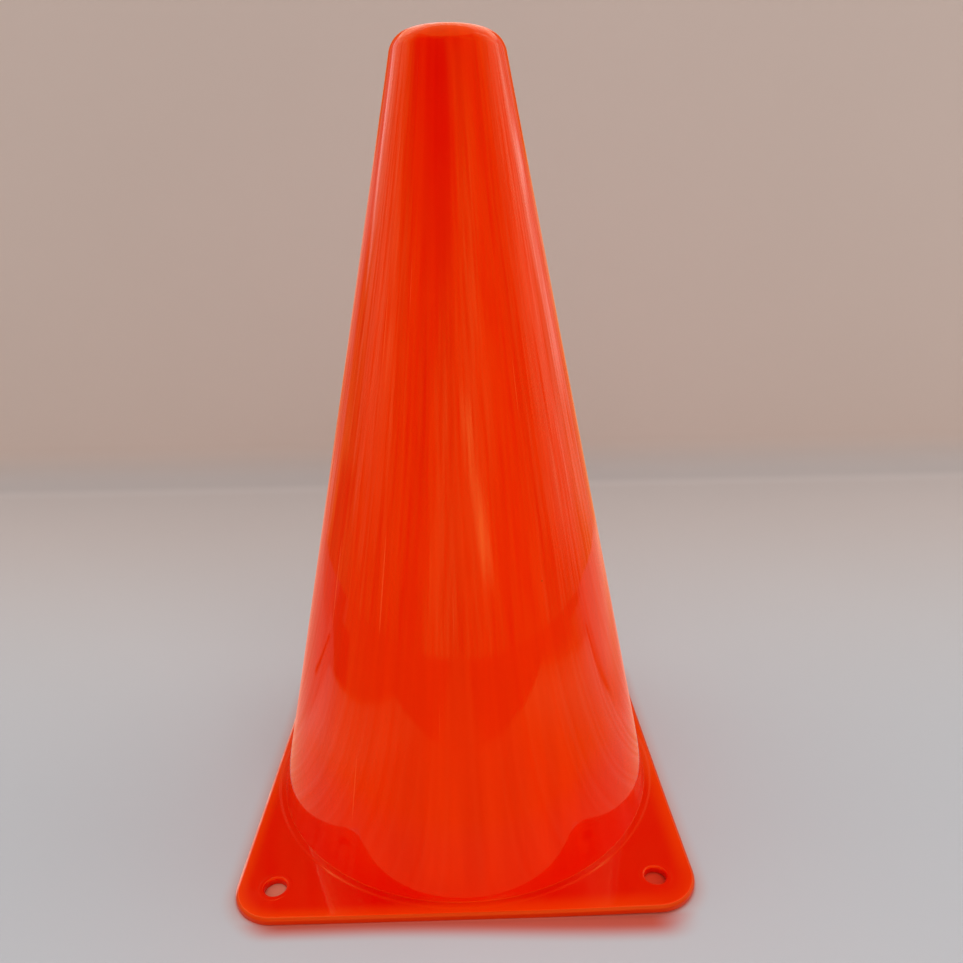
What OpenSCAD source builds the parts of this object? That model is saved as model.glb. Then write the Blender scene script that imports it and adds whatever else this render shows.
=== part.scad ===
// Sports marker cone: a thin-walled plastic cone on a square base plate.
// The real cone is one hollow moulding. Its regions are drawn as separate solids that meet face to face:
// the plate lies on the floor, the fillet ring on the plate, the wall on the ring and the crown on the wall.
// Origin: centre of the underside, on the floor. +Z is up, and X and Y run along the plate's sides.

/* [Cone] */
// Height of the whole cone, from the floor to the top of the crown
cone_h = 230; // [150:5:320]
// Outer diameter of the wall where its straight side would meet the floor
foot_d = 125; // [90:1:180]
// Outer diameter of the wall where its straight side would meet the top of the crown
crown_d = 29.5; // [22:0.5:60]
// Thickness of the plastic in the wall and the crown
wall_t = 1.3; // [0.8:0.1:2.5]
// Rounding of the crown's edge, on the outside
crown_r = 6.3; // [3:0.1:9]
// Rounding of the fillet between the wall and the plate
foot_r = 2.7; // [1:0.1:3.5]

/* [Base plate] */
// Ledge of the plate beyond the wall's foot, at the middle of each side
plate_ledge = 3.5; // [2.8:0.1:20]
// Thickness of the plate
plate_t = 2; // [1.3:0.1:4]
// Radius of the plate's corners, seen from above
corner_r = 12.5; // [4:0.5:20]
// Rounding of the plate's upper edge
edge_r = 0.8; // [0.2:0.1:1.2]
// Rounding of the edge where the hollow opens through the underside
mouth_r = 1; // [0.3:0.1:1.2]

/* [Peg holes] */
// Diameter of the peg hole in each corner
peg_hole_d = 6.2; // [3:0.1:9]
// Distance from each hole's centre to the two nearest sides of the plate
peg_inset = 11.3; // [8:0.1:16]
// Rounding of each hole's upper rim
peg_rim_r = 0.6; // [0.2:0.1:1.2]

/* [Hidden] */
$fn = 128;
// Overrun of the cuts past the faces that they open
cut_over = 1;
// Straight steps in each rounded profile
arc_steps = 12;
plastic = [0.87, 0.13, 0.01];

plate_w = foot_d + 2 * plate_ledge;
half_w = plate_w / 2;
// Middle of each round corner, and the middle of each peg hole
corner_at = half_w - corner_r;
peg_at = half_w - peg_inset;
peg_hole_r = peg_hole_d / 2;

// Angle that the wall leans in from upright
lean = atan((foot_d - crown_d) / 2 / cone_h);
// The wall's thickness, measured level
wall_run = wall_t / cos(lean);

// Radius of the wall's outside and of its inside at the height z
function wall_outside(z) = (foot_d - (foot_d - crown_d) * z / cone_h) / 2;
function wall_inside(z) = wall_outside(z) - wall_run;

// Points of an arc about the point at, from one angle to another
function arc_points(at, r, from, to) = [
    for (i = [0 : arc_steps])
        let (a = from + (to - from) * i / arc_steps)
        at + r * [cos(a), sin(a)]
];

// Centre of the crown's rounding, which the outside and the inside share, so the plastic stays as thick there
crown_z = cone_h - crown_r;
crown_at = [wall_outside(crown_z) - crown_r / cos(lean), crown_z];

// Centre of the foot's rounding, tangent to the plate's top and to the wall, and the height where it ends
foot_z = plate_t + foot_r;
foot_at = [wall_outside(foot_z) + foot_r / cos(lean), foot_z];
foot_top = foot_z - foot_r * sin(lean);

// Centre of the mouth's rounding, tangent to the floor and to the wall's inside
mouth_at = [wall_inside(mouth_r) + mouth_r / cos(lean), mouth_r];

// Closed top with a rounded edge, down to where the wall runs straight
module crown() {
    inner_r = crown_r - wall_t;
    color(plastic)
        rotate_extrude()
            polygon(concat(
                [[wall_inside(crown_z), crown_z], [wall_outside(crown_z), crown_z]],
                arc_points(crown_at, crown_r, lean, 90),
                [[0, cone_h], [0, cone_h - wall_t]],
                arc_points(crown_at, inner_r, 90, lean)
            ));
}

// Straight tapered wall between the foot's fillet and the crown
module cone_wall() {
    color(plastic)
        rotate_extrude()
            polygon([
                [wall_inside(foot_top), foot_top],
                [wall_outside(foot_top), foot_top],
                [wall_outside(crown_z), crown_z],
                [wall_inside(crown_z), crown_z]
            ]);
}

// Ring that blends the wall into the plate's top
module foot_fillet() {
    color(plastic)
        rotate_extrude()
            polygon(concat(
                [[wall_inside(foot_top), foot_top], [wall_inside(plate_t), plate_t]],
                arc_points(foot_at, foot_r, 270, 180 + lean)
            ));
}

// Section of the plate's rim: its outer edge is at x = 0, and it reaches the given distance inwards
module rim_section(inward) {
    polygon(concat(
        [[-inward, 0], [0, 0]],
        arc_points([-edge_r, plate_t - edge_r], edge_r, 0, 90),
        [[-inward, plate_t]]
    ));
}

// Square plate with round corners and a rounded upper edge, with no holes: a middle, four rims and four corners
module plate_blank() {
    rim_length = 2 * corner_at;
    translate([-corner_at, -corner_at, 0])
        cube([rim_length, rim_length, plate_t]);
    for (turn = [0 : 90 : 270])
        rotate([0, 0, turn]) {
            translate([half_w, 0, 0])
                rotate([90, 0, 0])
                    linear_extrude(height = rim_length, center = true)
                        rim_section(corner_r);
            translate([corner_at, corner_at, 0])
                rotate_extrude(angle = 90)
                    translate([corner_r, 0])
                        rim_section(corner_r);
        }
}

// Hollow of the cone where it passes through the plate, with its rounded mouth
module hollow_cut() {
    top = plate_t + cut_over;
    rotate_extrude()
        polygon(concat(
            [[0, -cut_over], [mouth_at[0], -cut_over]],
            arc_points(mouth_at, mouth_r, 270, 180 + lean),
            [[wall_inside(top), top], [0, top]]
        ));
}

// One peg hole, with its rounded upper rim
module peg_hole_cut() {
    rim_at = [peg_hole_r + peg_rim_r, plate_t - peg_rim_r];
    top = plate_t + cut_over;
    rotate_extrude()
        polygon(concat(
            [[0, -cut_over], [peg_hole_r, -cut_over]],
            arc_points(rim_at, peg_rim_r, 180, 90),
            [[peg_hole_r + peg_rim_r, top], [0, top]]
        ));
}

// Plate that the cone stands on, open under the hollow, with a peg hole in each corner
module base_plate() {
    color(plastic)
        difference() {
            plate_blank();
            hollow_cut();
            for (x = [-peg_at, peg_at], y = [-peg_at, peg_at])
                translate([x, y, 0])
                    peg_hole_cut();
        }
}

crown();
cone_wall();
foot_fillet();
base_plate();
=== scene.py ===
"""Looks of the sports marker cone: one glossy soft plastic moulding on a pale studio floor.

The CAD model is the fixed frame. Its four nodes are regions of one moulding, so a single closed mesh
with the same sizes stands for all of them. Lengths are in millimetres until the mesh is made, and the
materials and the studio are in metres.
"""

import math
import random

import bmesh
import bpy
from mathutils import Matrix, Vector
from mathutils.geometry import delaunay_2d_cdt


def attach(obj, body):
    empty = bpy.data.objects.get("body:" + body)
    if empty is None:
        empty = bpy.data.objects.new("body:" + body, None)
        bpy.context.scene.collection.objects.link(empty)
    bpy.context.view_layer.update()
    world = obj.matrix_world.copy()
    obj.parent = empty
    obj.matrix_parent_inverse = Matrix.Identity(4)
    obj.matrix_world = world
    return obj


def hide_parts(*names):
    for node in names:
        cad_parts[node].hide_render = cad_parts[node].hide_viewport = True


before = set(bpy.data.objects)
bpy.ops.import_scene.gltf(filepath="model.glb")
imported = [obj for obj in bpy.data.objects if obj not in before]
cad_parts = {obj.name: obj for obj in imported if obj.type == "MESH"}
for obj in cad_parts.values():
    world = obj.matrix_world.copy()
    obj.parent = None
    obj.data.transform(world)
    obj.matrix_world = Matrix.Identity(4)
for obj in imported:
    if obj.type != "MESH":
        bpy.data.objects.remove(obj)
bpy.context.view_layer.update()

MM = 0.001

# Sizes of the moulding, as in the CAD model
CONE_H = 230.0
FOOT_D = 125.0
CROWN_D = 29.5
WALL_T = 1.3
CROWN_R = 6.3
FOOT_R = 2.7
PLATE_HALF = 66.0
PLATE_T = 2.0
CORNER_R = 12.5
EDGE_R = 0.8
MOUTH_R = 1.0
PEG_R = 3.1
PEG_AT = 54.7
RIM_R = 0.6

# Finer shapes that only the visual model has: a small rounding of all lower edges, the low ring that the
# wall stands on, the low lip about each peg hole, and the hole's slight draft up to the height DRAFT_TOP
LOWER_EDGE_R = 0.18
RING_R = 64.0
RING_HALF = 0.55
RING_H = 0.095
RING_FILLET = 0.13
LIP_R = 5.0
LIP_H = 0.025
PEG_LOW_R = 3.0
DRAFT_TOP = 0.75

# Shallow dimple and nub that the mould's gate leaves in the crown's top: radius, and depth below the top
GATE = [
    (3.9, 0.0), (3.5, 0.03), (3.2, 0.14), (2.9, 0.27), (2.5, 0.32), (1.5, 0.33), (1.05, 0.3), (0.92, 0.16),
    (0.8, 0.05), (0.45, 0.03),
]

# How far the soft plate's corners stand off the floor, by the signs of x and y, and the distances from the
# axis between which the plate bends
CORNER_LIFT = {(-1, -1): 0.15, (1, -1): 0.6, (-1, 1): 0.35, (1, 1): 0.3}
LIFT_FROM = 66.5
LIFT_TO = 88.0

# Points around the cone, along a quarter of the plate's outline and around a peg hole
AROUND = 360
CORNER_STEPS = 20
SIDE_STEPS = 44
PEG_STEPS = 48
# Rings up the wall's outside and inside, and across the crown's flat top, outside and inside
WALL_RINGS = 72
INNER_RINGS = 40
TOP_RINGS = (6.4, 5.2, 4.3)
UNDER_TOP_RINGS = (5.5, 3.5, 1.5, 0.6)
# Steps of each rounded profile
RING_STEPS = 8
FILLET_STEPS = 14
CROWN_STEPS = 16
UNDER_CROWN_STEPS = 10
MOUTH_STEPS = 8
LOWER_EDGE_STEPS = 3
EDGE_STEPS = 8
RIM_STEPS = 7
LIP_STEPS = 10
# Height of the ring in the middle of the plate's upright rim
RIM_MIDDLE = 0.7
# A ring this far past a rounding keeps the shading of the flat beside it level
SUPPORT = 0.15
TOP_SUPPORT = 0.25
UNDER_TOP_SUPPORT = 0.3
# Grid that fills the plate's flat faces: its pitch, its rows' pitch in parts of that, and its least
# distance from the rims
GRID = 2.1
GRID_ROW = 0.87
GRID_MARGIN = 0.75
SAME_POINT = 1e-6

LEAN = math.atan((FOOT_D - CROWN_D) / 2 / CONE_H)


def wall_outside(z):
    """Radius of the wall's outside at the height z."""
    return (FOOT_D - (FOOT_D - CROWN_D) * z / CONE_H) / 2


def wall_inside(z):
    """Radius of the wall's inside at the height z."""
    return wall_outside(z) - WALL_T / math.cos(LEAN)


# Centres of the roundings, as (radius, height), and the height where the foot's fillet ends
CROWN_Z = CONE_H - CROWN_R
CROWN_AT = (wall_outside(CROWN_Z) - CROWN_R / math.cos(LEAN), CROWN_Z)
FOOT_TOP = PLATE_T + FOOT_R - FOOT_R * math.sin(LEAN)
MOUTH_AT = (wall_inside(MOUTH_R) + MOUTH_R / math.cos(LEAN), MOUTH_R)

# The wall isn't perfectly round: waves of falling size run along it from foot to crown, as pulled and
# polished moulds leave them, and they bend its reflections into long streaks. Each has a count around the
# cone and a size, and draws a phase and a twist.
WAVE_SEED = 11
WAVE_TWIST = 0.35
WAVE_SIZES = (
    (2, 0.120), (3, 0.060), (5, 0.035), (8, 0.022), (13, 0.013), (19, 0.010), (29, 0.0065), (41, 0.0045),
    (57, 0.0030),
)
# The waves fade in over one part in FOOT_FADE of the wall, and out over the last CROWN_FADE millimetres
# before CROWN_STILL below the top. Towards the crown they fall to about WAVE_LEAST of their size.
FOOT_FADE = 9
CROWN_FADE = 9
CROWN_STILL = 0.8
WAVE_LEAST = 0.55
WAVE_REST = 0.45


# The mesh

verts = []
faces = []


def arc(at, radius, start, end, steps):
    """Points of an arc about a centre, from one angle to another, in radians."""
    angles = [start + (end - start) * i / steps for i in range(steps + 1)]
    return [(at[0] + radius * math.cos(a), at[1] + radius * math.sin(a)) for a in angles]


def line(start, end, steps):
    """Points between two ends, without the ends."""
    return [
        (start[0] + (end[0] - start[0]) * i / steps, start[1] + (end[1] - start[1]) * i / steps)
        for i in range(1, steps)
    ]


def lower_rounding(at, radius, steps):
    """Rounding between the floor and an upright face that stands at a distance."""
    angles = [math.pi / 2 * i / steps for i in range(steps + 1)]
    return [(at + radius * (1 - math.sin(a)), radius * (1 - math.cos(a))) for a in angles]


def upper_rounding(at, radius, steps):
    """Rounding between an upright face that stands at a distance and the plate's top."""
    angles = [math.pi / 2 * i / steps for i in range(steps + 1)]
    return [(at + radius * (1 - math.cos(a)), PLATE_T - radius * (1 - math.sin(a))) for a in angles]


def soft_step(s):
    """Step from 0 to 1 with soft ends."""
    return s * s * (3 - 2 * s)


def add_ring(points):
    """Adds a closed ring of points and returns their numbers."""
    first = len(verts)
    verts.extend(points)
    return list(range(first, first + len(points)))


def join_rings(a, b):
    """Closes the band between two rings of as many points."""
    n = len(a)
    for i in range(n):
        j = (i + 1) % n
        faces.append((a[i], a[j], b[j], b[i]))


def revolve(profile, offset, centre=(0.0, 0.0), steps=AROUND):
    """Turns a profile of (radius, height) about a vertical line and returns its rings."""
    rings = []
    for radius, z in profile:
        points = []
        for i in range(steps):
            turn = 2 * math.pi * i / steps
            r = radius + offset(turn, radius, z)
            points.append((centre[0] + r * math.cos(turn), centre[1] + r * math.sin(turn), z))
        rings.append(add_ring(points))
    for a, b in zip(rings, rings[1:]):
        join_rings(a, b)
    return rings


def cap(ring, z):
    """Closes a small ring with a fan about its middle."""
    middle = add_ring([(0.0, 0.0, z)])[0]
    n = len(ring)
    for i in range(n):
        faces.append((ring[i], ring[(i + 1) % n], middle))


def no_offset(turn, radius, z):
    """Offset of a shape that is perfectly round."""
    return 0.0


random.seed(WAVE_SEED)
WAVES = [
    (count, size, random.uniform(0, 2 * math.pi), random.uniform(-WAVE_TWIST, WAVE_TWIST))
    for count, size in WAVE_SIZES
]


def wall_waves(turn, radius, z):
    """Offset of the wall from a true cone. It fades out at the foot and over the crown."""
    up = (z - FOOT_TOP) / (CROWN_Z - FOOT_TOP)
    fade_in = min(1.0, max(0.0, up * FOOT_FADE))
    fade_out = min(1.0, max(0.0, (CONE_H - CROWN_STILL - z) / CROWN_FADE))
    total = 0.0
    for count, size, phase, twist in WAVES:
        total += size * math.cos(count * turn + phase + twist * up * 2)
    return fade_in * fade_out * total * (WAVE_LEAST + WAVE_REST * radius / wall_outside(0))


def outline(inset, z):
    """The plate's outline, drawn in by inset, with as many points for each inset."""
    r = CORNER_R - inset
    mid = PLATE_HALF - CORNER_R
    points = []
    for quarter in range(4):
        turn = math.pi / 2 * quarter
        c, s = math.cos(turn), math.sin(turn)
        local = [(mid + r, -mid + 2 * mid * i / SIDE_STEPS) for i in range(SIDE_STEPS)]
        local += [
            (mid + r * math.cos(a), mid + r * math.sin(a))
            for a in (math.pi / 2 * i / CORNER_STEPS for i in range(CORNER_STEPS))
        ]
        points += [(x * c - y * s, x * s + y * c, z) for x, y in local]
    return points


def area_between(outer, circle, pegs, z):
    """Fills the flat area inside the outer ring and outside the circle and the peg rings."""
    loops = [outer, circle] + pegs
    numbers = [v for loop in loops for v in loop]
    coords = [Vector(verts[v][:2]) for v in numbers]
    edges = []
    first = 0
    for loop in loops:
        n = len(loop)
        edges += [(first + i, first + (i + 1) % n) for i in range(n)]
        first += n
    circle_r = Vector(verts[circle[0]][:2]).length
    peg_r = (Vector(verts[pegs[0][0]][:2]) - Vector((PEG_AT, PEG_AT))).length
    edge = max(verts[v][0] for v in outer)
    corner = CORNER_R - (PLATE_HALF - edge)

    def room(p):
        """Distance from the nearest rim of the area, below zero outside it."""
        ax, ay = abs(p.x) - (edge - corner), abs(p.y) - (edge - corner)
        out = math.hypot(max(ax, 0), max(ay, 0)) + min(max(ax, ay), 0) - corner
        peg = math.hypot(abs(p.x) - PEG_AT, abs(p.y) - PEG_AT) - peg_r
        return min(-out, p.length - circle_r, peg)

    count = int(PLATE_HALF / GRID) + 1
    for i in range(-count, count + 1):
        for j in range(-count, count + 1):
            p = Vector(((i + 0.5 * (j % 2)) * GRID, j * GRID * GRID_ROW))
            if room(p) > GRID_MARGIN:
                numbers.append(add_ring([(p.x, p.y, z)])[0])
                coords.append(p)
    points, _, triangles, origins, _, _ = delaunay_2d_cdt(coords, edges, [], 0, SAME_POINT)
    for triangle in triangles:
        middle = sum((points[v] for v in triangle), Vector((0, 0))) / 3
        if room(middle) > 0:
            faces.append(tuple(numbers[origins[v][0]] for v in triangle))


def build_outside():
    """Outside, from the plate's top up the wall and over the crown. Returns its foot ring."""
    fillet_z = PLATE_T + RING_H + RING_FILLET
    fillet_at = (wall_outside(fillet_z) + RING_FILLET / math.cos(LEAN), fillet_z)
    profile = [
        (RING_R + RING_HALF * (1 - 2 * s), PLATE_T + RING_H * soft_step(s))
        for s in (i / RING_STEPS for i in range(RING_STEPS + 1))
    ]
    profile += arc(fillet_at, RING_FILLET, 1.5 * math.pi, math.pi + LEAN, FILLET_STEPS)
    crown = arc(CROWN_AT, CROWN_R, LEAN, math.pi / 2, CROWN_STEPS)
    profile += line(profile[-1], crown[0], WALL_RINGS) + crown
    profile += [(r, CONE_H) for r in (CROWN_AT[0] - TOP_SUPPORT,) + TOP_RINGS]
    profile += [(r, CONE_H - depth) for r, depth in GATE]
    rings = revolve(profile, wall_waves)
    cap(rings[-1], CONE_H - GATE[-1][1])
    return rings[0]


def build_inside():
    """Inside, from the mouth in the underside up to the hollow's top. Returns its mouth ring."""
    mouth = arc(MOUTH_AT, MOUTH_R, 1.5 * math.pi, math.pi + LEAN, MOUTH_STEPS)
    crown = arc(CROWN_AT, CROWN_R - WALL_T, LEAN, math.pi / 2, UNDER_CROWN_STEPS)
    profile = [(MOUTH_AT[0] + SUPPORT, 0.0)] + mouth
    profile += line(mouth[-1], crown[0], INNER_RINGS) + crown
    profile += [(r, CONE_H - WALL_T) for r in (CROWN_AT[0] - UNDER_TOP_SUPPORT,) + UNDER_TOP_RINGS]
    rings = revolve(profile, wall_waves)
    cap(rings[-1], CONE_H - WALL_T)
    return rings[0]


def build_rim():
    """The plate's rim. Returns its rings in the underside and in the top."""
    profile = [(LOWER_EDGE_R + SUPPORT, 0.0)]
    profile += lower_rounding(0.0, LOWER_EDGE_R, LOWER_EDGE_STEPS)
    profile += [(0.0, RIM_MIDDLE)]
    profile += upper_rounding(0.0, EDGE_R, EDGE_STEPS)
    profile += [(EDGE_R + SUPPORT, PLATE_T)]
    rings = [add_ring(outline(inset, z)) for inset, z in profile]
    for a, b in zip(rings, rings[1:]):
        join_rings(a, b)
    return rings[0], rings[-1]


def build_pegs():
    """The four peg holes. Returns their rings in the underside and in the top."""
    profile = [(PEG_LOW_R + LOWER_EDGE_R + SUPPORT, 0.0)]
    profile += lower_rounding(PEG_LOW_R, LOWER_EDGE_R, LOWER_EDGE_STEPS)
    profile += [(PEG_R, DRAFT_TOP)]
    profile += upper_rounding(PEG_R, RIM_R, RIM_STEPS)
    lip_from = PEG_R + RIM_R
    profile += [
        (lip_from + (LIP_R - lip_from) * s, PLATE_T + LIP_H * math.sin(math.pi * s) ** 2)
        for s in (i / LIP_STEPS for i in range(1, LIP_STEPS + 1))
    ]
    under, top = [], []
    for x, y in ((PEG_AT, PEG_AT), (-PEG_AT, PEG_AT), (-PEG_AT, -PEG_AT), (PEG_AT, -PEG_AT)):
        rings = revolve(profile, no_offset, (x, y), PEG_STEPS)
        under.append(rings[0])
        top.append(rings[-1])
    return under, top


def lift_of(x, y):
    """How far the plate stands off the floor at a point."""
    reach = (math.hypot(x, y) - LIFT_FROM) / (LIFT_TO - LIFT_FROM)
    reach = min(1.0, max(0.0, reach))
    corner = CORNER_LIFT[(1 if x > 0 else -1, 1 if y > 0 else -1)]
    return corner * soft_step(reach)


def build_cone():
    """Makes the whole moulding as one closed mesh."""
    foot = build_outside()
    mouth = build_inside()
    rim_under, rim_top = build_rim()
    pegs_under, pegs_top = build_pegs()
    area_between(rim_top, foot, pegs_top, PLATE_T)
    area_between(rim_under, mouth, pegs_under, 0.0)

    mesh = bpy.data.meshes.new("marker_cone")
    mesh.from_pydata([(x * MM, y * MM, (z + lift_of(x, y)) * MM) for x, y, z in verts], [], faces)
    edited = bmesh.new()
    edited.from_mesh(mesh)
    bmesh.ops.recalc_face_normals(edited, faces=edited.faces)
    open_edges = sum(1 for edge in edited.edges if len(edge.link_faces) != 2)
    edited.to_mesh(mesh)
    edited.free()
    mesh.polygons.foreach_set("use_smooth", [True] * len(mesh.polygons))
    mesh.update()
    print("cone mesh:", len(mesh.polygons), "faces,", open_edges, "open edges")
    piece = bpy.data.objects.new("marker_cone", mesh)
    bpy.context.scene.collection.objects.link(piece)
    return piece


cone = build_cone()


# Materials

# Colours of the plastic: from dark to light on the wall and on the plate's top, then the painted glow of
# the light that comes in at the rim, the rim's lighter edge, the painted shade of its steep faces, the
# painted highlight on its left side, and the wall's scratches and specks
WALL_TONES = ((0.70, 0.0032, 0.0002, 1), (0.78, 0.0095, 0.0003, 1))
PLATE_TONES = ((0.68, 0.0008, 0.0002, 1), (0.73, 0.0040, 0.0003, 1))
RIM_GLOW = (0.78, 0.034, 0.0004, 1)
RIM_EDGE_LIGHTER = (0.84, 0.085, 0.012, 1)
RIM_FACE_SHADE = (0.53, 0.016, 0.0004, 1)
RIM_LEFT_HIGHLIGHT = (1.0, 0.55, 0.46, 1)
SCRATCH = (0.90, 0.085, 0.02, 1)
SPECK = (0.22, 0.012, 0.002, 1)

# Colours of the floor near and far and of the backdrop, each from one end of its clouds to the other, and
# of the light that the plate throws on the floor: all about it, in front of it, close to it and under it
FLOOR_NEAR = ((0.495, 0.53, 0.555, 1), (0.525, 0.56, 0.585, 1))
FLOOR_FAR = ((0.52, 0.475, 0.455, 1), (0.56, 0.51, 0.49, 1))
BACKDROP = ((0.62, 0.512, 0.45, 1), (0.68, 0.555, 0.49, 1))
THROWN_ABOUT = (0.60, 0.22, 0.17, 1)
THROWN_FRONT = (0.50, 0.08, 0.045, 1)
THROWN_CLOSE = (0.80, 0.17, 0.10, 1)
UNDER_LEFT = (0.62, 0.20, 0.125, 1)
UNDER_RIGHT = (0.66, 0.042, 0.012, 1)
BLACK = (0.0, 0.0, 0.0, 1)

# Gloss and translucence of the plastic, and its faint relief in metres
ROUGHNESS = 0.05
PLASTIC_IOR = 1.5
REFLECTION_TINT = (1.0, 0.92, 0.15, 1)
SCATTER_WEIGHT = 0.15
SCATTER_RADIUS = (1.0, 0.2, 0.05)
SCATTER_SCALE = 0.002
BUMP_STRENGTH = 0.15
BUMP_HEIGHT = 0.00004

# How fine the plastic's patterns are. The streaks take RAY_PITCH of the height, and the scratches take
# SCRATCH_PITCH of that, which draws them out along the wall.
STREAK_SCALE = 6.0
FINE_STREAK_SCALE = 30.0
CLOUD_SCALE = 34.0
GRAIN_SCALE = 900.0
WEAR_SCALE = 120.0
SCRATCH_SCALE = 46.0
SPECK_SCALE = 75.0
RAY_PITCH = 0.9
SCRATCH_PITCH = 0.4

# Heights just above the plate's top, where the rim's glow has ended, and where the wall has its own colours
# in full
PLATE_TOP_Z = 0.0022
GLOW_END_Z = 0.003
WALL_FULL_Z = 0.012


class Nodes:
    """Short ways to add nodes to one tree."""

    def __init__(self, tree):
        self.tree = tree

    def add(self, kind, **values):
        node = self.tree.nodes.new(kind)
        for key, value in values.items():
            setattr(node, key, value)
        return node

    def link(self, a, b):
        self.tree.links.new(a, b)

    def put(self, socket, value):
        """Links an output to a socket, or writes a plain value into it."""
        if isinstance(value, bpy.types.NodeSocket):
            self.link(value, socket)
        else:
            socket.default_value = value

    def math(self, operation, *values):
        node = self.add("ShaderNodeMath", operation=operation)
        for socket, value in zip(node.inputs, values):
            self.put(socket, value)
        return node.outputs[0]

    def plus(self, first, *others):
        for other in others:
            first = self.math("ADD", first, other)
        return first

    def minus(self, a, b):
        return self.math("SUBTRACT", a, b)

    def times(self, first, *others):
        for other in others:
            first = self.math("MULTIPLY", first, other)
        return first

    def vector(self, operation, *values):
        node = self.add("ShaderNodeVectorMath", operation=operation)
        for socket, value in zip(node.inputs, values):
            self.put(socket, value)
        return node

    def combine(self, *values):
        node = self.add("ShaderNodeCombineXYZ")
        for socket, value in zip(node.inputs, values):
            self.put(socket, value)
        return node.outputs[0]

    def separate(self, vector):
        node = self.add("ShaderNodeSeparateXYZ")
        self.link(vector, node.inputs[0])
        return node.outputs

    def coordinates(self, kind):
        return self.add("ShaderNodeTexCoord").outputs[kind]

    def span(self, value, low, high, to_low=0.0, to_high=1.0, smooth=True):
        """Maps a value from one range to another, with soft ends."""
        node = self.add("ShaderNodeMapRange", interpolation_type="SMOOTHSTEP" if smooth else "LINEAR")
        for socket, given in zip(node.inputs, (value, low, high, to_low, to_high)):
            self.put(socket, given)
        return node.outputs[0]

    def noise(self, vector, scale, detail, roughness):
        node = self.add("ShaderNodeTexNoise")
        self.link(vector, node.inputs["Vector"])
        node.inputs["Scale"].default_value = scale
        node.inputs["Detail"].default_value = detail
        node.inputs["Roughness"].default_value = roughness
        return node.outputs["Fac"]

    def mix(self, factor, a, b):
        node = self.add("ShaderNodeMix", data_type="RGBA")
        self.put(node.inputs["Factor"], factor)
        self.put(node.inputs[6], a)
        self.put(node.inputs[7], b)
        return node.outputs[2]

    def finish(self, shader):
        """Makes a shader the surface of the material."""
        output = self.add("ShaderNodeOutputMaterial")
        self.link(shader.outputs[0], output.inputs[0])


def new_material(name):
    """A material with an empty node tree, and the short ways to add nodes to it."""
    material = bpy.data.materials.new(name)
    material.use_nodes = True
    material.node_tree.nodes.clear()
    return material, Nodes(material.node_tree)


def past_outline(n, x, y):
    """Distance of a point out past the plate's outline, in metres. It is negative within the rim."""
    mid = (PLATE_HALF - CORNER_R) * MM
    across = n.math("MAXIMUM", n.minus(n.math("ABSOLUTE", x), mid), 0.0)
    along = n.math("MAXIMUM", n.minus(n.math("ABSOLUTE", y), mid), 0.0)
    squares = n.plus(n.times(across, across), n.times(along, along))
    return n.minus(n.math("SQRT", squares), CORNER_R * MM)


def tone_colour(n, z, on_wall, upright, streak, fine_streak, cloud):
    """Base colour: streaked along the wall, faintly clouded, and deeper on the plate's level top."""
    tone = n.plus(n.times(n.span(streak, 0.36, 0.64), 0.75), n.times(n.span(fine_streak, 0.3, 0.7), 0.25))
    tone = n.times(tone, n.times(on_wall, n.span(z, 0.2280, 0.2298, 1.0, 0.2)))
    tone = n.plus(n.times(tone, 0.75), n.times(n.span(cloud, 0.3, 0.7), 0.25))
    wall_colour = n.mix(tone, *WALL_TONES)
    plate_colour = n.mix(tone, *PLATE_TONES)
    plate_colour = n.mix(n.span(upright, 0.7, 0.97, 1.0, 0.0), plate_colour, wall_colour)
    return n.mix(on_wall, plate_colour, wall_colour)


def rim_colour(n, colour, place, x, z, past, upright):
    """Adds to a colour the plate rim's painted glow, shade and highlight, and its lighter edge."""
    # Light gets into the thin plate from its rim, less far at the left, and the plate looks more orange
    on_plate = n.minus(1.0, n.span(z, PLATE_TOP_Z, GLOW_END_Z))
    reach = n.span(x, -0.05, 0.03, -0.0048, -0.0068)
    colour = n.mix(n.times(n.span(past, reach, -0.0002), on_plate), colour, RIM_GLOW)
    uneven = n.span(n.noise(place, WEAR_SCALE, 3.0, 0.6), 0.3, 0.7, 0.55, 1.0)
    # The rounded top edge is drawn a little lighter, unevenly
    lighter_edge = n.times(n.span(past, -0.0007, -0.0002), uneven)
    colour = n.mix(n.times(lighter_edge, 0.2), colour, RIM_EDGE_LIGHTER)
    # Painted shade: the rim's steep faces are drawn darker, where less light falls than on its top, apart
    # from the left side
    steep_shade = n.span(upright, 0.975, 0.998, 0.95, 0.0, smooth=False)
    colour = n.mix(n.times(steep_shade, n.span(past, -0.0009, -0.0007)), colour, RIM_FACE_SHADE)
    # Painted highlight: the left side of the rim's rounding is drawn pale, as where bright light from the
    # left reflects
    side = n.times(n.span(x, -0.0656, -0.0649, 1.0, 0.0), n.span(z, 0.0009, 0.0013))
    return n.mix(n.times(uneven, side, 0.8), colour, RIM_LEFT_HIGHLIGHT)


def speck_mask(n, place):
    """Where a few small dark specks are."""
    cells = n.add("ShaderNodeTexVoronoi", feature="F1")
    n.link(place, cells.inputs["Vector"])
    cells.inputs["Scale"].default_value = SPECK_SCALE
    picked = n.span(n.separate(cells.outputs["Color"])[0], 0.5, 0.52)
    return n.times(n.span(cells.outputs["Distance"], 0.018, 0.032, 1.0, 0.0), picked)


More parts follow.
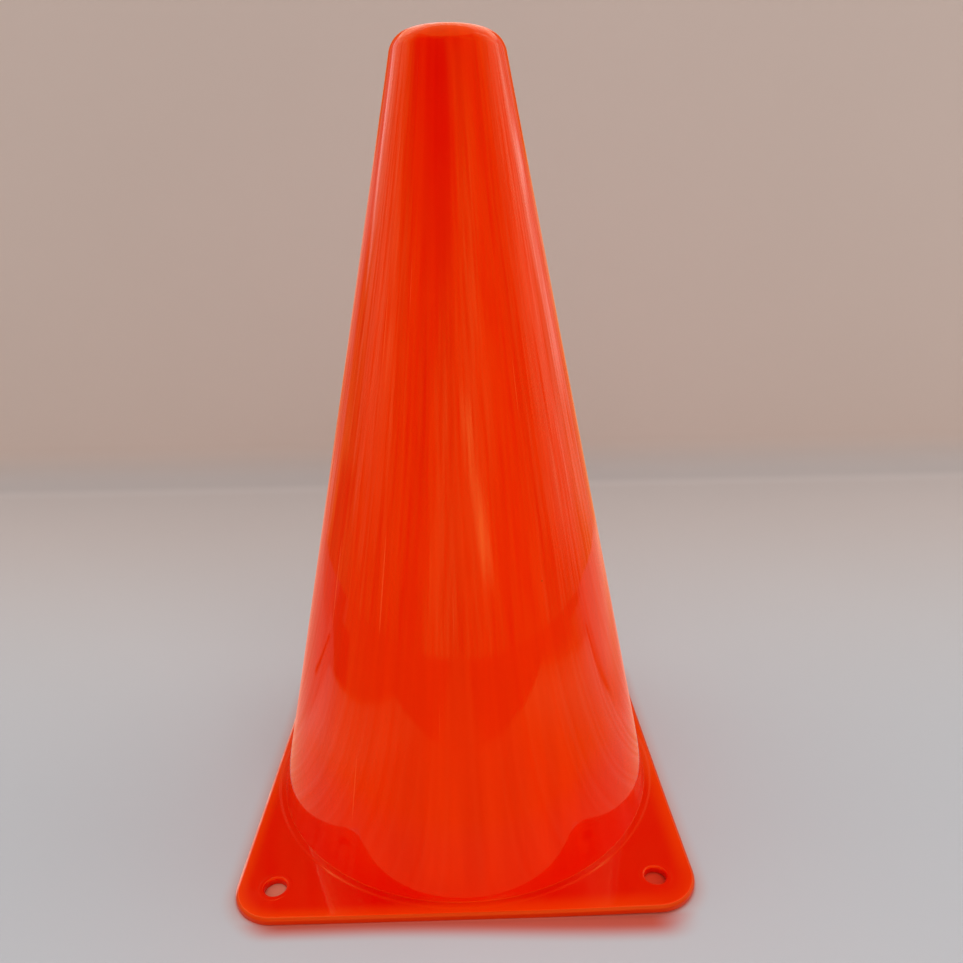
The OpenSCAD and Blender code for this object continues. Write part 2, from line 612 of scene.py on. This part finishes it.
def plastic_material():
    """Glossy red-orange soft plastic."""
    material, n = new_material("orange_plastic")
    place = n.coordinates("Object")
    x, y, z = n.separate(place)
    upright = n.separate(n.coordinates("Normal"))[2]
    past = past_outline(n, x, y)
    on_wall = n.span(z, PLATE_TOP_Z, WALL_FULL_Z)

    # Unit vector out from the axis, so a pattern runs along the wall as rays from the crown
    out_x, out_y, _ = n.separate(n.vector("NORMALIZE", n.combine(x, y, 0.0)).outputs[0])
    ray = n.combine(out_x, out_y, n.times(z, RAY_PITCH))
    streak = n.noise(ray, STREAK_SCALE, 2.0, 0.5)
    fine_streak = n.noise(ray, FINE_STREAK_SCALE, 2.0, 0.5)
    cloud = n.noise(place, CLOUD_SCALE, 3.0, 0.55)
    grain = n.noise(place, GRAIN_SCALE, 2.0, 0.6)

    colour = tone_colour(n, z, on_wall, upright, streak, fine_streak, cloud)
    colour = rim_colour(n, colour, place, x, z, past, upright)
    # A few fine light scratches along the wall
    stretched = n.vector("MULTIPLY", ray, (1.0, 1.0, SCRATCH_PITCH)).outputs[0]
    scratch = n.times(n.span(n.noise(stretched, SCRATCH_SCALE, 1.0, 0.4), 0.76, 0.80), on_wall)
    colour = n.mix(n.times(scratch, 0.4), colour, SCRATCH)
    colour = n.mix(n.times(speck_mask(n, place), 0.6), colour, SPECK)

    # The gloss is a little uneven, and duller on the rim and in the scratches
    rough = n.plus(ROUGHNESS, n.times(n.minus(cloud, 0.5), 0.05))
    rough = n.plus(rough, n.times(n.minus(fine_streak, 0.5), 0.04))
    rough = n.plus(rough, n.span(past, -0.0014, -0.0006, 0.0, 0.3), n.times(scratch, 0.1))

    shader = n.add("ShaderNodeBsdfPrincipled")
    n.put(shader.inputs["Base Color"], colour)
    n.put(shader.inputs["Roughness"], rough)
    shader.inputs["IOR"].default_value = PLASTIC_IOR
    shader.inputs["Specular Tint"].default_value = REFLECTION_TINT
    shader.inputs["Subsurface Weight"].default_value = SCATTER_WEIGHT
    shader.inputs["Subsurface Radius"].default_value = SCATTER_RADIUS
    shader.inputs["Subsurface Scale"].default_value = SCATTER_SCALE
    bump = n.add("ShaderNodeBump")
    bump.inputs["Strength"].default_value = BUMP_STRENGTH
    bump.inputs["Distance"].default_value = BUMP_HEIGHT
    n.put(bump.inputs["Height"], n.plus(n.times(grain, 0.5), fine_streak))
    n.put(shader.inputs["Normal"], bump.outputs[0])
    n.finish(shader)
    return material


def thrown_light(n, ground, x, y):
    """Adds the red light that comes through the thin plate on to the floor about it."""
    past = past_outline(n, x, y)
    ground = n.mix(n.span(past, -0.001, 0.005, 0.42, 0.0), ground, THROWN_ABOUT)
    # In front it is stronger, and it reaches further at the right
    front_edge = n.span(y, -0.0665, -0.064, 1.0, 0.0)
    front = n.times(front_edge, n.span(n.math("ABSOLUTE", x), 0.050, 0.066, 1.0, 0.0))
    right = n.span(x, -0.03, 0.05)
    near_end = n.times(right, 0.0025)
    far_end = n.plus(n.times(right, 0.003), 0.006)
    ground = n.mix(n.times(front, n.span(past, near_end, far_end, 0.95, 0.0)), ground, THROWN_FRONT)
    ground = n.mix(n.span(past, -0.0006, 0.0008, 0.75, 0.0), ground, THROWN_CLOSE)
    # The floor under the plate is in its shade
    under = n.mix(right, UNDER_LEFT, UNDER_RIGHT)
    return n.mix(n.span(past, -0.004, -0.0015, 0.95, 0.0), ground, under)


def floor_material():
    """Plain pale matt floor and backdrop."""
    material, n = new_material("pale_studio")
    place = n.coordinates("Object")
    x, y, z = n.separate(place)
    cloud = n.noise(place, 3.0, 3.0, 0.5)
    ground = n.mix(n.span(y, -0.05, 0.26), n.mix(cloud, *FLOOR_NEAR), n.mix(cloud, *FLOOR_FAR))
    ground = thrown_light(n, ground, x, y)
    colour = n.mix(n.span(z, 0.002, 0.03), ground, n.mix(cloud, *BACKDROP))
    # The bend faces the lamps more than the floor and the backdrop do, so painted shade makes it a little
    # darker
    bend = n.times(n.span(z, 0.0002, 0.004), n.span(z, 0.014, 0.034, 1.0, 0.0))
    colour = n.mix(n.times(bend, 0.13), colour, BLACK)
    shader = n.add("ShaderNodeBsdfDiffuse")
    n.put(shader.inputs["Color"], colour)
    n.finish(shader)
    return material


cone.data.materials.append(plastic_material())
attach(cone, "root")
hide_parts("crown", "cone_wall", "foot_fillet", "base_plate")


# The studio

# Floor that sweeps up into a backdrop behind the cone
SWEEP_R = 0.03
SWEEP_STEPS = 12
BACKDROP_Y = 0.330
BACKDROP_TOP = 0.37
STAGE_HALF = 2.4
STAGE_FRONT = (-3.0, -1.0)


def stage_mesh(name, points, polygons, material, smooth=True):
    """Adds a piece of the studio, which isn't part of the object."""
    data = bpy.data.meshes.new(name)
    data.from_pydata(points, [], polygons)
    data.polygons.foreach_set("use_smooth", [smooth] * len(data.polygons))
    data.materials.append(material)
    piece = bpy.data.objects.new(name, data)
    bpy.context.scene.collection.objects.link(piece)
    return piece


def build_sweep():
    """The floor and the backdrop, as one bent sheet."""
    section = [(y, 0.0) for y in STAGE_FRONT]
    section += [
        (BACKDROP_Y - SWEEP_R + SWEEP_R * math.sin(a), SWEEP_R * (1 - math.cos(a)))
        for a in (math.pi / 2 * i / SWEEP_STEPS for i in range(SWEEP_STEPS + 1))
    ]
    section += [(BACKDROP_Y, BACKDROP_TOP)]
    points = [(side * STAGE_HALF, y, z) for y, z in section for side in (-1, 1)]
    polygons = [(2 * i, 2 * i + 1, 2 * i + 3, 2 * i + 2) for i in range(len(section) - 1)]
    stage_mesh("studio_sweep", points, polygons, floor_material())


build_sweep()


def around_axis(azimuth, distance, z):
    """A point about the cone's axis, at an azimuth from the camera's side, in degrees to the right."""
    a = math.radians(azimuth)
    return (distance * math.sin(a), -distance * math.cos(a), z)


def softbox(name, at, aim, width, height, radiance, only=None):
    """A soft rectangular light that faces a point. It lights the surfaces, and reflections don't show it.

    Where a piece is given, the light falls on that piece alone.
    """
    light = bpy.data.lights.new(name, "AREA")
    light.shape = "RECTANGLE"
    light.size = width
    light.size_y = height
    light.energy = radiance * math.pi * width * height
    lamp = bpy.data.objects.new(name, light)
    facing = (Vector(aim) - Vector(at)).to_track_quat("-Z", "Y").to_matrix().to_4x4()
    lamp.matrix_world = Matrix.Translation(at) @ facing
    lamp.visible_camera = False
    lamp.visible_glossy = False
    if only:
        lit = bpy.data.collections.new(name + "_lights")
        lit.objects.link(only)
        lamp.light_linking.receiver_collection = lit
    bpy.context.scene.collection.objects.link(lamp)


# The point of the cone that most lamps face
AIM = (0.0, 0.0, 0.12)

softbox("key", (0.2, -1.1, 1.0), AIM, 1.5, 1.0, 0.88)
softbox("low_fill", (0.0, -0.62, 0.1), (0.0, 0.0, 0.05), 0.7, 0.16, 3.6, cone)
softbox("fill_left", around_axis(-105, 1.2, 0.6), AIM, 1.2, 1.0, 1.6)
softbox("fill_right", around_axis(105, 1.2, 0.6), AIM, 1.2, 1.0, 2.0)
softbox("back", (0.0, 1.15, 1.2), AIM, 1.6, 0.8, 0.5)
softbox("top", (0.0, 0.0, 1.5), AIM, 1.8, 1.8, 0.62)


# What the gloss reflects: a round tent of soft panels about the cone, and the pale floor's near part inside
# it. Reflections alone see them. Levels are radiance, where 1 is white.

TENT_R = 0.45
TENT_Y = -0.125
TENT_TOP = 0.95
TENT_FLOOR_Z = 0.0006
TENT_STEPS = 96
# The tent's floor leaves this square about the cone's plate open, so that the real floor shows near it
OPEN_HALF = 0.0675

# Ends of a panel that runs on past the tent: below the floor, above the top, and right round
BELOW = -1
ABOVE = 2
ROUND = 400
TENT_LEVEL = 0.35
LEAN_ABOUT = 0.25

# Name: azimuths from and to, their softness (degrees), heights from and to, their softness (metres), level,
# and how far the panel leans (degrees of azimuth per metre of height, about the height LEAN_ABOUT)
TENT_PANELS = {
    "side_left": (-107, -58, 23, 0.085, ABOVE, 0.145, 0.88, -50),
    "side_right": (50, 145, 23, BELOW, ABOVE, 0.05, 0.52, 36),
    "edge_left": (-126, -107, 10, 0.26, ABOVE, 0.09, 1.15, -30),
    "edge_right": (79, 115, 24, 0.045, ABOVE, 0.06, 1.05, 9),
    "line_left": (-122.5, -119.5, 3.5, 0.22, ABOVE, 0.03, 2.2, -90),
    "line_right": (117, 123, 9, 0.125, ABOVE, 0.04, 1.9, -37),
    "glint_right": (121, 129, 5, 0.27, 0.31, 0.02, 2.2, -37),
    "low_left": (-104, -83, 5.5, BELOW, 0.086, 0.018, 0.2, 94),
    "gap_left": (-24, -18, 5, BELOW, ABOVE, 0.05, 0.24, 30),
    "above_left": (-78, -49, 20, 0.415, 0.75, 0.12, 0.04, 16),
    "above": (-29, 24, 11, 0.415, 0.75, 0.12, 0.02, -57),
    "above_right": (46, 76, 11, 0.48, 0.75, 0.12, 0.03, -93),
    "band": (-19, -3, 11, BELOW, 0.306, 0.095, 0.78, 25),
    "band_right": (0, 34, 12, 0.1, 0.44, 0.45, 1.08, 38),
    "stroke": (6.5, 12.7, 2.5, 0.077, 0.244, 0.03, 1.75, -60),
}
# The same for the back, where the azimuth counts alike to the left and to the right
REAR_PANELS = {
    "rear": (148, ROUND, 4, 0.25, ABOVE, 0.02, 0.17, 0),
    "arch": (122, ROUND, 8, 0.44, ABOVE, 0.015, 1.25, 0),
    "arch_top": (166, ROUND, 4, 0.37, ABOVE, 0.05, 1.2, 0),
}
LID_LEVEL = 0.8
LID_WARMTH = 0.6

# The same for the floor: x from and to, softness, y from and to, softness (metres), level, and how far the
# panel leans (metres of x per metre of y). FAR lies past the tent.
FAR = 1
FLOOR_LEVEL = 0.36
FLOOR_PANELS = {
    "near": (-0.21, 0.295, 0.005, -0.24, 0.02, 0.005, 0.53, 0),
    "near_left": (-0.21, -0.12, 0.02, -0.24, 0.01, 0.005, 0.64, 0),
    "near_right": (0.16, 0.292, 0.07, -0.238, 0.012, 0.005, 0.86, 0),
    "middle": (-0.06, 0.045, 0.02, -FAR, -0.24, 0.01, 0.52, 0),
    "patch_left": (-0.34, -0.218, 0.008, -0.055, 0.0, 0.008, 0.2, 0),
    "patch_slant": (-0.5, -0.228, 0.01, 0.0, 0.085, 0.008, 0.2, -1.0),
    "shade": (-0.1, 0.1, 0.03, -0.1, 0.1, 0.03, 0.4, 0),
    "behind_left": (-FAR, -0.24, 0.02, 0.07, FAR, 0.02, 0.28, 0),
    "beside_right": (0.28, 0.385, 0.012, -0.06, 0.08, 0.02, 0.56, 0),
    "joint_left": (-0.25, -0.155, 0.006, 0.042, 0.049, 0.004, 0.12, 0),
    "joint_right": (0.15, 0.30, 0.01, 0.016, 0.023, 0.004, 0.2, 0),
    "behind_right": (0.14, FAR, 0.04, 0.03, 0.25, 0.03, 0.62, 0),
}

# Streaks of the tent and its floor: how many there are per degree and per metre
STREAKS_AROUND = 0.3
STREAKS_UP = 7.0

# Red is RED_OVER above a panel's level. Blue rises BLUE_RISE times as fast past the warmth, and never falls
# below BLUE_LEAST of the level.
RED_OVER = 0.65
BLUE_RISE = 1.2
BLUE_LEAST = 0.15


def add_panels(n, level, across, up, middle, panels):
    """Lays soft-edged rectangles over a level, one after another."""
    for low, high, soft, bottom, top, soft_up, value, lean in panels.values():
        u = across
        if lean != 0:
            u = n.minus(across, n.times(n.minus(up, middle), lean))
        inside = n.span(u, low - soft, low + soft)
        inside = n.times(inside, n.minus(1.0, n.span(u, high - soft, high + soft)))
        inside = n.times(inside, n.span(up, bottom - soft_up, bottom + soft_up))
        inside = n.times(inside, n.minus(1.0, n.span(up, top - soft_up, top + soft_up)))
        level = n.plus(level, n.times(inside, n.minus(value, level)))
    return level


def azimuth_of(n, x, y):
    """Azimuth of a point from the camera's side, in degrees to the right."""
    return n.math("DEGREES", n.math("ARCTAN2", x, n.times(y, -1.0)))


def streaked(n, level, azimuth, z, least, most):
    """Makes a level uneven, from one factor to another, as streaks that run up the tent."""
    place = n.combine(n.times(azimuth, STREAKS_AROUND), n.times(z, STREAKS_UP), 0.0)
    return n.times(level, n.span(n.noise(place, 1.0, 2.0, 0.6), 0.3, 0.7, least, most, smooth=False))


def glow(n, level, warmth):
    """Shines at a level. Dim panels are warm, and bright ones nearly white."""
    blue = n.math("MAXIMUM", n.times(level, BLUE_LEAST), n.times(n.minus(level, warmth), BLUE_RISE))
    colour = n.add("ShaderNodeCombineColor")
    for socket, value in zip(colour.inputs, (n.plus(level, RED_OVER), level, blue)):
        n.put(socket, value)
    shader = n.add("ShaderNodeEmission")
    n.link(colour.outputs[0], shader.inputs[0])
    n.finish(shader)


def tent_material():
    """Glow of the tent's panels."""
    material, n = new_material("reflection_tent")
    x, y, z = n.separate(n.coordinates("Object"))
    azimuth = azimuth_of(n, x, y)
    turned = n.math("ABSOLUTE", azimuth)
    level = add_panels(n, TENT_LEVEL, azimuth, z, LEAN_ABOUT, TENT_PANELS)
    level = add_panels(n, level, turned, z, LEAN_ABOUT, REAR_PANELS)
    level = streaked(n, level, azimuth, z, 0.5, 1.5)
    warmth = n.plus(n.span(turned, 50, 110, 0.08, 0.0), n.span(turned, 112, 136, 0.42, 0.18))
    warmth = n.plus(warmth, n.span(azimuth, 100, 130, 0.0, 0.08))
    glow(n, level, n.math("MAXIMUM", warmth, n.span(z, 0.38, 0.48, 0.0, 0.55)))
    return material


def tent_floor_material():
    """Glow of the tent's floor, which is streaked outward from the cone."""
    material, n = new_material("reflection_floor")
    place = n.coordinates("Object")
    x, y, _ = n.separate(place)
    level = add_panels(n, FLOOR_LEVEL, x, y, 0.0, FLOOR_PANELS)
    level = streaked(n, level, azimuth_of(n, x, y), 0.0, 0.8, 1.2)
    warmth = n.plus(n.span(y, -0.08, 0.04, 0.42, 0.16), n.span(x, 0.09, 0.15, 0.0, 0.11))
    # Near the cone it is greyer
    away = n.vector("LENGTH", place).outputs["Value"]
    glow(n, level, n.math("MINIMUM", warmth, n.span(away, 0.09, 0.17, 0.2, 0.6)))
    return material


def lid_material():
    """Even glow of the tent's lid."""
    material, n = new_material("reflection_lid")
    glow(n, LID_LEVEL, LID_WARMTH)
    return material


def only_reflected(piece):
    """Hides a piece of the studio from everything but reflections."""
    piece.visible_camera = False
    piece.visible_diffuse = False
    piece.visible_transmission = False
    piece.visible_volume_scatter = False
    piece.visible_shadow = False


def build_tent():
    """The tent's wall, its lid, and its floor with a square opening about the cone."""
    turns = [2 * math.pi * i / TENT_STEPS for i in range(TENT_STEPS)]
    low = [(TENT_R * math.cos(a), TENT_Y + TENT_R * math.sin(a), TENT_FLOOR_Z) for a in turns]
    high = [(x, y, TENT_TOP) for x, y, _ in low]
    opening = [
        (OPEN_HALF * c / max(abs(c), abs(s)), OPEN_HALF * s / max(abs(c), abs(s)), TENT_FLOOR_Z)
        for c, s in ((math.cos(a), math.sin(a)) for a in turns)
    ]
    bands = []
    for i in range(TENT_STEPS):
        after = (i + 1) % TENT_STEPS
        bands.append((i, after, TENT_STEPS + after, TENT_STEPS + i))
    lid = [tuple(range(TENT_STEPS))]
    pieces = [
        stage_mesh("reflection_tent", low + high, bands, tent_material()),
        stage_mesh("reflection_lid", high, lid, lid_material(), smooth=False),
        stage_mesh("reflection_floor", low + opening, bands, tent_floor_material(), smooth=False),
    ]
    for piece in pieces:
        only_reflected(piece)


build_tent()

# Colour of the plain pale surround, the same in every direction
SURROUND = (0.50, 0.455, 0.44, 1)


def build_world():
    """Sets the surround."""
    world = bpy.data.worlds.new("studio")
    world.use_nodes = True
    background = world.node_tree.nodes["Background"]
    background.inputs[0].default_value = SURROUND
    background.inputs[1].default_value = 1.0
    bpy.context.scene.world = world


build_world()


# The camera, at the photograph's place: millimetres, radians and pixels

CAMERA_AT = (7.168, -229.772, 180.302)
CAMERA_PITCH = 0.31581
CAMERA_ROLL = -0.0158
CAMERA_TURN = -0.01695
FOCAL_PIXELS = 770.0
PICTURE = 963.0
SENSOR = 36.0
CLIP_NEAR = 0.01
CLIP_FAR = 20.0


def place_camera():
    """Sets the camera where the photograph was taken from."""
    data = bpy.data.cameras.new("camera")
    data.sensor_width = SENSOR
    data.lens = FOCAL_PIXELS / PICTURE * SENSOR
    data.clip_start = CLIP_NEAR
    data.clip_end = CLIP_FAR
    forward = Vector((0, math.cos(CAMERA_PITCH), -math.sin(CAMERA_PITCH)))
    right = Vector((1, 0, 0))
    up = Vector((0, math.sin(CAMERA_PITCH), math.cos(CAMERA_PITCH)))
    c, s = math.cos(CAMERA_ROLL), math.sin(CAMERA_ROLL)
    axes = Matrix((c * right + s * up, c * up - s * right, -forward)).transposed().to_4x4()
    axes.translation = Vector(CAMERA_AT) * MM
    camera = bpy.data.objects.new("camera", data)
    camera.matrix_world = Matrix.Rotation(CAMERA_TURN, 4, "Z") @ axes
    bpy.context.scene.collection.objects.link(camera)
    bpy.context.scene.camera = camera


place_camera()
bpy.context.scene.view_settings.view_transform = "Standard"

bpy.context.view_layer.update()
